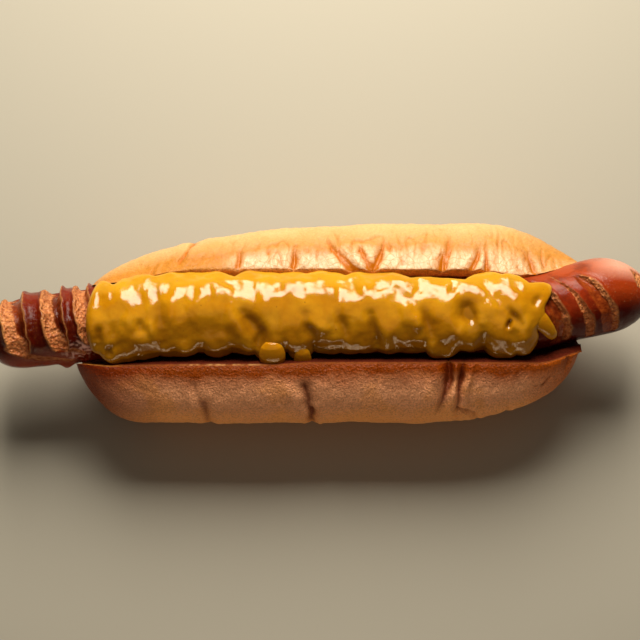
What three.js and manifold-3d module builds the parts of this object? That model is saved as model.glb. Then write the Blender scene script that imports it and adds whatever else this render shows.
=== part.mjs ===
// A hot dog: a grilled, scored sausage lying in a soft bun that is split along its top, under a thick layer of mustard.
// Millimetres. +X runs along the bun, +Y towards its back half and +Z up. The origin is on the table, under the bun's middle.
// The bun, the sausage and the mustard are each one closed surface over a grid of two parameters.
import * as THREE from "three";
import { mergeGeometries, mergeVertices } from "three/addons/utils/BufferGeometryUtils.js";
import Module from "manifold-3d";

const wasm = await Module();
wasm.setup();

// ---- Driving dimensions ----
const SAUSAGE = { radius: 12.9, left: -112.5, right: 105.5, leftCap: 14, rightCap: 19, y: 1.4, z: 30 };
const BUN = { frontHalf: 33.5, backHalf: 33.5, middleHeight: 21, squareness: 2.3, flatten: 0.8 };
const RIM = { frontY: -16.5, backY: 14.2, tipZ: 31, frontRise: 9, backRise: 10, domeHalf: 83.5 };
const GROOVE_CLEARANCE = 0.6;
const MUSTARD = { gap: 0.3, crown: 3.1, bead: 2.6, wallGap: 0.4, back: 60, front: 92 };

const DEG = Math.PI / 180;
const clamp01 = (t) => Math.min(1, Math.max(0, t));
// 0 below t = 0, 1 above t = 1 and an S-curve between.
const ease = (t) => clamp01(t) ** 2 * (3 - 2 * clamp01(t));
const mix = (a, b, t) => a + (b - a) * t;
const bell = (t) => Math.exp(-t * t);
const steps = (n) => Array.from({ length: n + 1 }, (_, i) => i / n);

// ---- Closed surfaces from sheets ----

// A sheet of us by vs vertices, each laid where place(u, v) says.
function sheet(us, vs, place) {
  const geometry = new THREE.PlaneGeometry(1, 1, us.length - 1, vs.length - 1);
  const { position } = geometry.attributes;
  vs.forEach((v, j) => us.forEach((u, i) => position.setXYZ(j * us.length + i, ...place(u, v))));
  return geometry;
}

// Joins sheets into one closed surface. Vertices that coincide are merged, which closes seams and tips, and the
// triangles that this leaves without area are dropped.
function closed(sheets) {
  const loose = mergeGeometries(sheets);
  loose.deleteAttribute("normal");
  loose.deleteAttribute("uv");
  const surface = mergeVertices(loose, 2e-3);
  const corners = surface.index.array;
  const kept = [];
  for (let i = 0; i < corners.length; i += 3) {
    const [a, b, c] = corners.subarray(i, i + 3);
    if (a !== b && b !== c && c !== a) kept.push(a, b, c);
  }
  surface.setIndex(kept);
  return surface;
}

function toSolid(geometry) {
  return new wasm.Manifold(
    new wasm.Mesh({
      numProp: 3,
      vertProperties: new Float32Array(geometry.attributes.position.array),
      triVerts: new Uint32Array(geometry.index.array),
    }),
  );
}

function toGeometry(solid) {
  const { vertProperties, triVerts } = solid.getMesh();
  const geometry = new THREE.BufferGeometry();
  geometry.setAttribute("position", new THREE.BufferAttribute(vertProperties, 3));
  geometry.setIndex(new THREE.BufferAttribute(triVerts, 1));
  return geometry;
}

// ---- Sausage ----

// The middle of the sausage at x. It lies straight in the bun, and swings forward at its left end and back at its right end.
function axis(x) {
  const forward = 0.115 * 6 * Math.log(1 + Math.exp((-54 - x) / 6));
  const back = 6.1 * ease((x - 60) / 33);
  return { y: SAUSAGE.y - forward + back, z: SAUSAGE.z + (0.8 * x) / 110 };
}

// Radius of the uncut sausage: slimmer at the left, and rounded off at both tips.
function sausageRadius(x) {
  const left = 1 - clamp01((x - SAUSAGE.left) / SAUSAGE.leftCap);
  const right = 1 - clamp01((SAUSAGE.right - x) / SAUSAGE.rightCap);
  const slim = mix(0.95, 1, ease((x + 105) / 50));
  return SAUSAGE.radius * slim * (1 - left ** 2.2) ** (1 / 2.1) * (1 - right ** 2.1) ** 0.5;
}

// The knife came down at a slant, more so towards the right end. Each ring leans along the cuts: slant is how far it moves
// in x for each mm from back to front, and bow how far its top stands ahead.
const leanFade = (x) => ease((x - SAUSAGE.left) / 10) * ease((SAUSAGE.right - 1 - x) / 18);
const slant = (x) => (0.2 + 0.1 * ease((x + 60) / 80) + 0.42 * ease((x - 56) / 24)) * leanFade(x);
const bow = (x) => mix(-0.2, 3.4, ease((x + 60) / 140)) * leanFade(x);

// The cuts opened wide on the grill. Each has its middle at x, a half-width, a depth, and runs from one angle to another:
// 0 degrees is the back, 90 the top and 180 the front. lips are how far the curled skin stands up left and right of the
// cut, and skew moves its deepest line off its middle.
const CUTS = [
  { x: -100.3, half: 4.6, depth: 3.2, from: -14, to: 143, lips: [1.0, 1.1], skew: 0.3 },
  { x: -87.3, half: 4.0, depth: 4.0, from: -14, to: 142, lips: [1.1, 1.2], skew: 0.3 },
  { x: -75.9, half: 3.7, depth: 3.8, from: -14, to: 136, lips: [1.1, 0], skew: 0.2 },
  { x: 68.2, half: 3.2, depth: 3.4, from: 30, to: 154, lips: [0, 0.5], skew: -0.3 },
  { x: 74.2, half: 1.4, depth: 2.0, from: 40, to: 154, lips: [0, 0.3], skew: -0.2 },
  { x: 81.6, half: 3.0, depth: 2.8, from: 44, to: 156, lips: [0.3, 0.6], skew: -0.3 },
];
// Under the mustard they go on at the same pitch, pressed nearly shut.
for (let x = -64; x < 62; x += 12.2)
  CUTS.push({ x, half: 1.6, depth: 1.8, from: 20, to: 150, lips: [0, 0], skew: 0, shut: true });

// How open a cut is at an angle: 1 along most of its length, 0 at both ends.
function cutOpening(cut, degrees) {
  const t = (2 * (degrees - cut.from)) / (cut.to - cut.from) - 1;
  return Math.abs(t) < 1 ? Math.sqrt(1 - t ** 4) : 0;
}

// Height of the sausage's surface over its round form, on the leaning ring x.
function sausageRelief(x, degrees) {
  let height = 0;
  for (const cut of CUTS) {
    const open = cutOpening(cut, degrees);
    if (open === 0) continue;
    const across = (x - cut.x) / (cut.half * (0.35 + 0.65 * open));
    height += cut.lips[across < 0 ? 0 : 1] * open * bell((Math.abs(across) - 1) / 0.4);
    const fromDeepest = across < cut.skew ? (cut.skew - across) / (1 + cut.skew) : (across - cut.skew) / (1 - cut.skew);
    if (fromDeepest < 1) height -= cut.depth * open * (1 - fromDeepest ** 1.4);
  }
  return height;
}

// Rings stand closest at the open cuts, and each leans along the cuts.
function sausageRings() {
  const at = new Set();
  for (const t of steps(6)) {
    const inset = (1 - Math.cos((t * Math.PI) / 2)) ** 1.2;
    at.add(SAUSAGE.left + SAUSAGE.leftCap * inset).add(SAUSAGE.right - SAUSAGE.rightCap * inset);
  }
  for (const cut of CUTS) {
    const marks = cut.shut ? [-1, 0, 1] : [-1.5, -1, -0.8, -0.3, cut.skew, 0.6, 1, 1.5];
    for (const m of marks) at.add(cut.x + m * cut.half);
  }
  const sorted = [...at].sort((a, b) => a - b);
  return sorted.filter((x, i) => i === 0 || x - sorted[i - 1] > 0.25);
}

function sausageGeometry() {
  return closed([
    sheet(sausageRings(), steps(20), (ring, t) => {
      const turn = (t % 1) * 360;
      const degrees = turn > 270 ? turn - 360 : turn;
      const [c, s] = [Math.cos(turn * DEG), Math.sin(turn * DEG)];
      const x = ring - slant(ring) * SAUSAGE.radius * c + bow(ring) * Math.max(0, s) ** 2;
      const radius = sausageRadius(x);
      const r = radius + (sausageRelief(ring, degrees) * radius) / SAUSAGE.radius;
      const centre = axis(x);
      return [x, centre.y + r * c, centre.z + r * s];
    }),
  ]);
}

// ---- Bun ----

// The two rims of the split, where crust meets crumb. They sink towards the bun's tips with its domed ends.
function rims(x) {
  const dome = Math.sqrt(1 - Math.min(1, Math.abs(x / RIM.domeHalf) ** 5));
  return {
    front: {
      y: RIM.frontY + 1.1 * ease((-70 - x) / 12) + 0.7 * ease((x + 18) / 14) + 4.4 * ease((x - 67) / 18),
      z: RIM.tipZ + RIM.frontRise * dome,
    },
    back: {
      y: RIM.backY + 1.2 * bell((x + 22) / 24) - 3.9 * ease((-42 - x) / 22) + 5 * ease((x - 68) / 16),
      z: RIM.tipZ + RIM.backRise * dome,
    },
  };
}

// The groove that holds the sausage, as a distance from its axis. The angle runs from the front rim (under 180 degrees),
// through 270 below the sausage, to the back rim (over 360). The front wall stands off the sausage, and the back wall touches it.
function grooveRadius(x, angle) {
  const centre = axis(x);
  const { front, back } = rims(x);
  const snug = SAUSAGE.radius + GROOVE_CLEARANCE;
  const frontWall = Math.max(snug, centre.y - front.y);
  const backWall = Math.max(snug - 0.6, back.y - centre.y);
  if (angle < Math.PI) return frontWall / -Math.cos(angle);
  if (angle < 2 * Math.PI) return mix(frontWall, snug, ease((angle - Math.PI) / (75 * DEG)));
  const rise = angle - 2 * Math.PI;
  const rimRise = Math.atan2(back.z - centre.z, backWall);
  return mix(snug, backWall, ease(rise / rimRise)) / Math.cos(rise);
}

// Angles of the two rims, seen from the sausage's axis.
function rimAngles(x) {
  const centre = axis(x);
  const { front, back } = rims(x);
  const snug = SAUSAGE.radius + GROOVE_CLEARANCE;
  const frontWall = Math.max(snug, centre.y - front.y);
  const backWall = Math.max(snug - 0.6, back.y - centre.y);
  return {
    front: Math.PI - Math.atan2(front.z - centre.z, frontWall),
    back: 2 * Math.PI + Math.atan2(back.z - centre.z, backWall),
  };
}

function grooveWall(x, s) {
  const centre = axis(x);
  const { front, back } = rimAngles(x);
  const angle = mix(front, back, s);
  const r = grooveRadius(x, angle);
  return { y: centre.y + r * Math.cos(angle), z: centre.z + r * Math.sin(angle) };
}

// The full outside of the loaf at its thickest: a squarish oval through both rims, from the front rim (s = 0) under the bun
// to the back rim (s = 1). theta is the angle round the loaf's middle.
function loafTheta(x, s) {
  const { front, back } = rims(x);
  const n = BUN.squareness;
  const start = Math.PI - Math.acos((-front.y / BUN.frontHalf) ** (n / 2));
  const end = 2 * Math.PI + Math.acos((back.y / BUN.backHalf) ** (n / 2));
  return { theta: mix(start, end, s), start, end };
}

function loafOutside(x, s) {
  const { front, back } = rims(x);
  const { theta, start, end } = loafTheta(x, s);
  const power = 2 / BUN.squareness;
  const [c, sn] = [Math.cos(theta), Math.sin(theta)];
  const rim = c < 0 ? front : back;
  const rimSine = Math.sin(c < 0 ? start : end) ** power;
  const up = (rim.z - BUN.middleHeight) / rimSine;
  const down = BUN.middleHeight + BUN.flatten;
  return {
    y: Math.sign(c) * (c < 0 ? BUN.frontHalf : BUN.backHalf) * Math.abs(c) ** power,
    z: BUN.middleHeight + (sn > 0 ? up : -down) * Math.abs(sn) ** power,
    theta,
  };
}

// Where the bun's tips are and how fast its wall thickens from each, for the front side, the underside and the back side.
const ENDS = {
  front: { left: -82, leftRun: 20, leftP: 2, leftQ: 1.45, right: 82.6, rightRun: 57, rightP: 2, rightQ: 1.8 },
  under: { left: -80.5, leftRun: 30, leftP: 2, leftQ: 2, right: 81.5, rightRun: 36, rightP: 2, rightQ: 2 },
  back: { left: -77.2, leftRun: 97, leftP: 1.8, leftQ: 1.55, right: 82.2, rightRun: 30, rightP: 2, rightQ: 1.1 },
};

function endsAt(s) {
  const toBack = ease((s - 0.3) / 0.4);
  const toUnder = 1 - Math.abs(2 * toBack - 1);
  return Object.fromEntries(
    Object.keys(ENDS.front).map((key) => [
      key,
      mix(mix(ENDS.front[key], ENDS.back[key], toBack), ENDS.under[key], ease(toUnder)),
    ]),
  );
}

// How much of the full wall stands at x: 0 at either tip, rising to 1 along a rounded end.
function wallShare(x, e) {
  const grow = (distance, run, p, q) => (1 - (1 - clamp01(distance / run)) ** p) ** (1 / q);
  return grow(x - e.left, e.leftRun, e.leftP, e.leftQ) * grow(e.right - x, e.rightRun, e.rightP, e.rightQ);
}

// Creases pressed into the crust. x and drift place the fold at theta "from" and "to" (degrees round the loaf: 64 is the back
// rim, 0 the back, 180 the front and 116 the front rim), half is its half-width and depth how far it sinks.
const CREASES = [
  { x: -6.6, drift: -1.6, from: 205, to: 150, half: 1.3, depth: 1.3 },
  { x: -40.5, drift: 0.4, from: 205, to: 163, half: 1.5, depth: 0.9 },
  { x: 37.5, drift: 3.6, from: 175, to: 112, half: 1.5, depth: 1.3 },
  { x: 42.6, drift: 2.2, from: 180, to: 112, half: 1.2, depth: 1.4 },
  { x: 73.5, drift: 2.5, from: 165, to: 125, half: 1.6, depth: 0.8 },
  { x: -46.6, drift: -4.5, from: -20, to: 45, half: 1.6, depth: 1.0 },
  { x: -31.8, drift: -0.5, from: 28, to: 66, half: 1.4, depth: 0.9 },
  { x: -11.4, drift: 0.2, from: 26, to: 66, half: 1.5, depth: 0.9 },
  { x: -5.0, drift: 5.6, from: 18, to: 68, half: 1.5, depth: 1.2 },
  { x: 8.6, drift: 3.0, from: 24, to: 62, half: 1.4, depth: 0.9 },
  { x: 17.6, drift: -1.6, from: 24, to: 68, half: 1.7, depth: 1.2 },
  { x: 36.2, drift: -0.6, from: 22, to: 66, half: 1.5, depth: 1.0 },
  { x: 48.4, drift: -2.6, from: 14, to: 62, half: 1.5, depth: 1.2 },
  { x: 65.0, drift: 3.0, from: 14, to: 60, half: 1.5, depth: 0.9 },
];

function creaseDepth(x, thetaDegrees) {
  let depth = 0;
  for (const fold of CREASES) {
    const turned = fold.from < 90 && thetaDegrees > 270 ? thetaDegrees - 360 : thetaDegrees;
    const along = (turned - fold.from) / (fold.to - fold.from);
    if (along <= 0 || along >= 1.15) continue;
    const strength = ease(along / 0.35) * ease((1.15 - along) / 0.15);
    depth += fold.depth * strength * bell((x - fold.x - fold.drift * along) / fold.half);
  }
  return depth;
}

function bunStations() {
  const at = new Set();
  for (const t of steps(38)) at.add(0.5 - 0.5 * Math.cos(Math.PI * t) * (0.75 + 0.25 * Math.cos(Math.PI * t) ** 2));
  const length = ENDS.front.right - ENDS.front.left;
  for (const fold of CREASES)
    for (const m of [-1.4, -0.2, 1]) at.add((fold.x + fold.drift * 0.7 + m * fold.half - ENDS.front.left) / length);
  const sorted = [...at].sort((a, b) => a - b);
  return sorted.filter((u, i) => i === 0 || u === 1 || u - sorted[i - 1] > 0.0045);
}

// The outer sheet is the crust and the inner sheet the crumb of the groove. They meet in the rims and at the tips.
function bunGeometry() {
  const wallAt = (u, s) => {
    const e = endsAt(s);
    const x = mix(e.left, e.right, u);
    return { e, x, wall: grooveWall(x, s) };
  };
  const crust = (u, s) => {
    const { e, x, wall } = wallAt(u, s);
    const loaf = loafOutside(x, s);
    const [dy, dz] = [loaf.y - wall.y, loaf.z - wall.z];
    const thickness = Math.hypot(dy, dz);
    if (s === 0 || s === 1 || u === 0 || u === 1) return [x, wall.y, wall.z];
    const sunk = Math.min(0.3 * thickness, creaseDepth(x, loaf.theta / DEG)) / thickness;
    const out = wallShare(x, e) * (1 - sunk);
    return [x, wall.y + out * dy, Math.max(0, wall.z + out * dz)];
  };
  const crumb = (u, s) => {
    const { x, wall } = wallAt(u, s);
    return [x, wall.y, wall.z];
  };
  const stations = bunStations();
  const columns = steps(22);
  return closed([sheet(stations, columns, crust), sheet(stations, [...columns].reverse(), crumb)]);
}

// ---- Mustard ----

// Rounded lobes hang along both edges. bulge is how far a lobe stands off the sausage.
const FRONT_LOBES = [
  { x: -67.5, half: 8.0, bulge: 3.6 },
  { x: -59.0, half: 5.0, bulge: 3.1 },
  { x: -49.0, half: 6.5, bulge: 2.8 },
  { x: -35.6, half: 4.4, bulge: 3.2 },
  { x: -27.3, half: 5.0, bulge: 2.4 },
  { x: -19.3, half: 4.4, bulge: 4.2 },
  { x: -9.1, half: 3.8, bulge: 4.0 },
  { x: 0.4, half: 4.8, bulge: 2.1 },
  { x: 6.5, half: 3.6, bulge: 2.1 },
  { x: 12.6, half: 4.0, bulge: 1.6 },
  { x: 19.8, half: 4.6, bulge: 1.9 },
  { x: 26.6, half: 4.6, bulge: 2.0 },
  { x: 36.8, half: 5.2, bulge: 3.4 },
  { x: 46.4, half: 5.4, bulge: 1.3 },
  { x: 56.0, half: 5.4, bulge: 3.5 },
  { x: 64.0, half: 5.2, bulge: 3.0 },
];
const BACK_LOBES = [
  { x: -74.0, half: 4.5, reach: 58 },
  { x: -62.6, half: 7.0, reach: 61 },
  { x: -44.3, half: 11.5, reach: 67 },
  { x: -22.0, half: 7.0, reach: 67 },
  { x: -11.8, half: 4.6, reach: 66 },
  { x: -1.2, half: 7.0, reach: 64 },
  { x: 14.4, half: 9.5, reach: 64 },
  { x: 32.0, half: 13.0, reach: 56 },
  { x: 51.0, half: 5.0, reach: 63 },
  { x: 59.3, half: 4.6, reach: 64 },
  { x: 67.5, half: 6.0, reach: 56 },
];
// Dents (negative) and bumps on the top, at x and an angle from the top in degrees, plus towards the back.
const LUMPS = [
  { x: -73.0, angle: -52, length: 1.4, spread: 7, height: -1.0 },
  { x: -65.6, angle: -18, length: 2.6, spread: 9, height: 0.5 },
  { x: -62.6, angle: -27, length: 2.2, spread: 8, height: -0.8 },
  { x: -62.4, angle: -42, length: 2.2, spread: 7, height: 0.7 },
  { x: -55.8, angle: -14, length: 2.6, spread: 16, height: -1.1 },
  { x: -24.6, angle: -34, length: 2.6, spread: 15, height: -1.3 },
  { x: -6.4, angle: -30, length: 2.2, spread: 14, height: -1.0 },
  { x: 5.4, angle: -24, length: 2.2, spread: 12, height: -0.8 },
  { x: 14.6, angle: -38, length: 1.9, spread: 15, height: -1.0 },
  { x: 29.8, angle: -27, length: 2.2, spread: 8, height: 0.7 },
  { x: 33.2, angle: -10, length: 3.0, spread: 12, height: -0.9 },
  { x: 42.8, angle: -33, length: 2.4, spread: 12, height: 0.7 },
  { x: 46.0, angle: -3, length: 4.0, spread: 12, height: -1.4 },
  { x: 58.0, angle: -36, length: 2.0, spread: 12, height: 0.6 },
  { x: 61.8, angle: -15, length: 3.2, spread: 9, height: -1.0 },
];

// The largest of several values, with the corner between them rounded over a width w.
function softMax(values, w) {
  const top = Math.max(...values);
  return top + w * Math.log(values.reduce((sum, v) => sum + Math.exp((v - top) / w), 0));
}

const frontBulge = (x) =>
  softMax([0.6, ...FRONT_LOBES.map((l) => l.bulge * (1 - 0.75 * ((x - l.x) / l.half) ** 2))], 0.12);
const backReach = (x) =>
  softMax([46, ...BACK_LOBES.map((l) => l.reach * (1 - 0.16 * ((x - l.x) / l.half) ** 2))], 0.5);
const frontReach = (x) => 74 + 7 * frontBulge(x);

// How thick the mustard is at x and an angle from the top, away from its edges.
function mustardThickness(x, angle) {
  let top = MUSTARD.crown + 0.25 * Math.sin(x * 0.55 + 0.06 * angle) + 0.2 * Math.sin(x * 0.23 - 0.09 * angle);
  for (const lump of LUMPS)
    top += lump.height * bell((x - lump.x) / lump.length) * bell((angle - lump.angle) / lump.spread);
  const side = ease((-angle - 38) / 36);
  return mix(top, frontBulge(x), side);
}

// The mustard's four edges in x and angle, and the patch between them (a Coons patch). u runs along the sausage and v from
// the back edge to the front edge.
const LEFT_EDGE = (v) => -74.4 - 3.0 * Math.sin(Math.PI * v) + 11 * ease((v - 0.6) / 0.4);
const RIGHT_EDGE = (v) => 70.2 - 3.0 * Math.sin(Math.PI * clamp01(v / 0.9)) ** 2 - 6.4 * v ** 4;

function mustardPlace(u, v) {
  const x = mix(LEFT_EDGE(v), RIGHT_EDGE(v), u);
  const lobes = (backReach(x) - MUSTARD.back) * (1 - v) ** 4 + (MUSTARD.front - frontReach(x)) * v ** 4;
  return { x, angle: mix(MUSTARD.back, -MUSTARD.front, v) + lobes };
}

// Thickness share near an edge: a rounded bead that stands steeply on the sausage.
function bead(distance) {
  const t = 1 - clamp01(distance / MUSTARD.bead);
  return Math.sqrt(1 - t * t);
}

// A point on the mustard's top, or on its underside, which follows the sausage and steps onto the lip of the open cut
// at its right end.
function mustardPoint(u, v, top) {
  const { x, angle } = mustardPlace(u, v);
  const length = RIGHT_EDGE(v) - LEFT_EDGE(v);
  const width = (backReach(x) + frontReach(x)) * SAUSAGE.radius * DEG;
  const edge = Math.min(u * length, (1 - u) * length, v * width, (1 - v) * width);
  const under = SAUSAGE.radius + MUSTARD.gap + 0.4 * ease((x - 65) / 3);
  const thick = Math.max(0, Math.min(mustardThickness(x, angle), wallRoom(x, angle) - under)) * bead(edge);
  const centre = axis(x);
  const r = under + (top ? thick : 0);
  return [x, centre.y + r * Math.sin(angle * DEG), centre.z + r * Math.cos(angle * DEG)];
}

// Distance from the axis to just short of the bun, at an angle from the top.
function wallRoom(x, angle) {
  const turn = (90 - angle) * DEG;
  const seen = angle > 0 ? turn + 2 * Math.PI : turn;
  const { front, back } = rimAngles(x);
  if (angle > 0 && seen > back) return Infinity;
  if (angle < 0 && seen < front) return Infinity;
  return grooveRadius(x, seen) - MUSTARD.wallGap;
}

// A tongue of mustard that ran from the right end down over the skin.
const TONGUE = { fromX: 64.8, toX: 72.9, fromAngle: -4, toAngle: -54, half: 1.7 };

function tongueGeometry() {
  return closed([
    sheet(steps(9), steps(8), (t, w) => {
      const x = mix(TONGUE.fromX, TONGUE.toX, 1 - (1 - t) ** 1.6);
      const centre = axis(x);
      const angle = mix(TONGUE.fromAngle, TONGUE.toAngle, t) * DEG;
      const girth = TONGUE.half * Math.sqrt(1 - Math.abs(2 * t - 1) ** 6);
      const turn = (w % 1) * 2 * Math.PI;
      const r = SAUSAGE.radius + 1.0 + TONGUE.half * 0.9 + girth * 0.9 * Math.sin(turn);
      return [x + girth * Math.cos(turn), centre.y + r * Math.sin(angle), centre.z + r * Math.cos(angle)];
    }),
  ]);
}

function mustardGeometry() {
  const along = steps(64).map((t) => mix(t, 0.5 - 0.5 * Math.cos(Math.PI * t), 0.25));
  const across = steps(12).map((t) => mix(t, 0.5 - 0.5 * Math.cos(Math.PI * t), 0.6));
  const body = closed([
    sheet(along, across, (u, v) => mustardPoint(u, v, true)),
    sheet(along, [...across].reverse(), (u, v) => mustardPoint(u, v, false)),
  ]);
  return toGeometry(toSolid(body).add(toSolid(tongueGeometry())));
}

// ---- The finished hot dog ----

const finish = {
  crust: new THREE.MeshStandardMaterial({ color: 0xd98f3f, roughness: 0.55, metalness: 0 }),
  casing: new THREE.MeshStandardMaterial({ color: 0x8e2f17, roughness: 0.3, metalness: 0 }),
  mustard: new THREE.MeshStandardMaterial({ color: 0xc98a14, roughness: 0.25, metalness: 0 }),
};

const hotDog = new THREE.Group();
const pieces = { bun: [bunGeometry(), finish.crust], sausage: [sausageGeometry(), finish.casing], mustard: [mustardGeometry(), finish.mustard] };
for (const [name, [geometry, material]] of Object.entries(pieces)) {
  const mesh = new THREE.Mesh(geometry, material);
  mesh.name = name;
  hotDog.add(mesh);
}

export default hotDog;
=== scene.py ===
import itertools

import bpy
import numpy as np
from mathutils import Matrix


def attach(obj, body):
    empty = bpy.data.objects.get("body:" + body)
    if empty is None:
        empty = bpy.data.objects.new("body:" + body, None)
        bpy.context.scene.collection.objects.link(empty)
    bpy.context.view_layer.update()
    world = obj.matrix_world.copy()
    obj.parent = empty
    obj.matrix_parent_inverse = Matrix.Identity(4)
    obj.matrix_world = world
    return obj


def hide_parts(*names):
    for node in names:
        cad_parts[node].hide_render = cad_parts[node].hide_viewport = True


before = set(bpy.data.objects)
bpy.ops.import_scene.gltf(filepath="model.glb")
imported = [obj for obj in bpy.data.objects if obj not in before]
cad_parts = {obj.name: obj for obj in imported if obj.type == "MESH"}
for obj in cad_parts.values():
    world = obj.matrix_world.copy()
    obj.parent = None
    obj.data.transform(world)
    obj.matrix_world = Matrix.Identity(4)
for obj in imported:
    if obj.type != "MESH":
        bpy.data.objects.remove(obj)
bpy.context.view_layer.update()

MM = 0.001

# ---- Sausage ----
# A long smoked pork sausage in its natural casing, scored crosswise with a knife and grilled.
# The casing browned and shrank, so each cut pulled open: its lips curl up and the coarse meat inside shows, its
# paleness on the side that faces the key light being painted light.
# All shapes are worked out in millimetres: x along the bun, y to its back half, z up.
SAUSAGE = dict(radius=12.9, left=-112.5, right=105.5, left_cap=14.0, right_cap=19.0, y=1.4, z=30.0)
CUTS = [
    # Middle, half-width, its share at the back end, depth, first and last angle, left and right lip, deepest line, and
    # where the light meat starts and ends; the light meat lies mostly on the side that faces the key light and is
    # partly painted light. Angles are in degrees: 0 at the back, 90 on top. The last three run across the cut, from -1
    # to 1.
    (-101.1, 4.3, 0.8, 2.8, -14, 143, 0.9, 1.1, 0.45, -1.2, 0.15),
    (-88.2, 3.9, 0.75, 3.4, -14, 142, 0.6, 1.3, 0.45, -1.2, 0.15),
    (-78.5, 2.8, 0.8, 3.0, -14, 136, 0.6, 0.9, 0.40, -1.2, 0.75),
    (68.4, 3.2, 0.6, 2.2, 48, 166, 0.1, 0.4, -0.35, 0.25, 1.2),
    (75.9, 2.1, 0.12, 1.1, 44, 172, 0.0, 0.3, -0.10, -1.2, 1.2),
    (82.5, 3.5, 0.7, 1.2, 58, 168, 0.0, 0.4, 0.10, 0.22, 1.2),
    (100.6, 1.6, 1.0, 1.2, 40, 84, 0.2, 0.3, 0.0, -1.2, 1.2),
]
# Under the mustard they go on at the same pitch, pressed nearly shut.
CUTS += [(x, 1.6, 1.0, 1.8, 20, 150, 0, 0, 0, -1, 1) for x in np.arange(-64, 62, 12.2)]
TEARS = [  # ring and degrees where the casing tore on from a cut and where the tear ends, half-width in mm
    (-104.5, 128, -99.5, 146, 1.8), (-99.5, 146, -92.5, 158, 1.6),
    (-92.5, 158, -86.0, 165, 1.2), (-86.5, 140, -81.5, 147, 1.2),
]
SKIN_FOLDS = [
    # Ring, degrees, length, spread in degrees and height: where the casing wrinkled and a flap of it stands off.
    (-88.0, 178, 2.2, 8, 1.7), (-85.4, 158, 1.6, 5, 0.6), (-81.2, 146, 1.3, 6, 0.8), (-78.4, 158, 1.6, 6, -0.6),
    (-84.6, 142, 1.1, 5, -0.6), (-75.6, 152, 1.4, 8, 0.5), (-81.0, 166, 1.4, 6, 0.6), (-74.0, 168, 1.6, 6, -0.5),
    (89.5, 92, 9.0, 30, 0.25), (97.0, 60, 5.0, 26, -0.2), (60.5, 20, 3.0, 20, 0.3),
]


def ease(t):
    """An S-curve: 0 up to t = 0, 1 from t = 1 on, and 3t^2 - 2t^3 between."""
    t = np.clip(t, 0, 1)
    return t * t * (3 - 2 * t)


def bell(t):
    """A bell curve of height 1: e to the power of minus t squared."""
    return np.exp(-np.square(t))


def mix(a, b, t):
    """The value a fraction t of the way from a to b."""
    return a + (b - a) * t


def noise(points, size, seed=0):
    """Smooth random relief of about -1 to 1 (gradient noise). Each corner of a cubic lattice with cells of that size
    holds a random slope, and the heights that the eight nearest slopes give at a point are blended by how near each
    corner is."""
    place = np.asarray(points, dtype=float) / size
    cell = np.floor(place).astype(np.int64)
    inside = place - cell
    blend = inside**3 * (inside * (inside * 6 - 15) + 10)
    total = np.zeros(place.shape[:-1])
    for corner in itertools.product((0, 1), repeat=3):
        c = cell + corner
        key = (c[..., 0] * 73856093) ^ (c[..., 1] * 19349663) ^ (c[..., 2] * 83492791) ^ (seed * 1597334677)
        key = ((key ^ (key >> 15)) * 2246822519) & 0xFFFFFFFF
        key = ((key ^ (key >> 13)) * 3266489917) & 0xFFFFFFFF
        turn = (key & 0xFFFF) * (2 * np.pi / 65536)
        rise = (key >> 16) / 32768.0 - 1
        flat = np.sqrt(np.maximum(0, 1 - rise**2))
        away = inside - corner
        height = flat * np.cos(turn) * away[..., 0] + flat * np.sin(turn) * away[..., 1] + rise * away[..., 2]
        total += height * np.prod(np.where(corner, blend, 1 - blend), axis=-1)
    return 1.7 * total


def axis(x):
    """The sausage's middle line, as y and z: straight in the bun, swinging forward at its left end, by 0.115 mm per mm
    past a softened corner, and back by 6.1 mm in an S-curve at its right end."""
    forward = 0.115 * 6 * np.log1p(np.exp((-54 - x) / 6))
    return SAUSAGE["y"] - forward + 6.1 * ease((x - 60) / 33), SAUSAGE["z"] + 0.8 * x / 110


def sausage_radius(x):
    """The uncut sausage's radius: slimmer at the left, and rounded off at both tips like an ellipse."""
    left = 1 - np.clip((x - SAUSAGE["left"]) / SAUSAGE["left_cap"], 0, 1)
    right = 1 - np.clip((SAUSAGE["right"] - x) / SAUSAGE["right_cap"], 0, 1)
    slim = mix(0.95, 1, ease((x + 105) / 50))
    return SAUSAGE["radius"] * slim * (1 - left**2.2) ** (1 / 2.1) * (1 - right**2.1) ** 0.5


def lean(ring, turn):
    """How far along x a leaning ring stands from its middle, at an angle round the sausage: a slant from back to front,
    as the knife came down, and a bow of its top. Both fade out towards the tips."""
    fade = ease((ring - SAUSAGE["left"]) / 10) * ease((SAUSAGE["right"] - 1 - ring) / 18)
    slant = (0.2 + 0.1 * ease((ring + 60) / 80) + 0.42 * ease((ring - 56) / 24)) * fade
    bow = mix(-0.2, 3.4, ease((ring + 60) / 140)) * fade
    return -slant * SAUSAGE["radius"] * np.cos(turn) + bow * np.maximum(0, np.sin(turn)) ** 2


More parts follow.
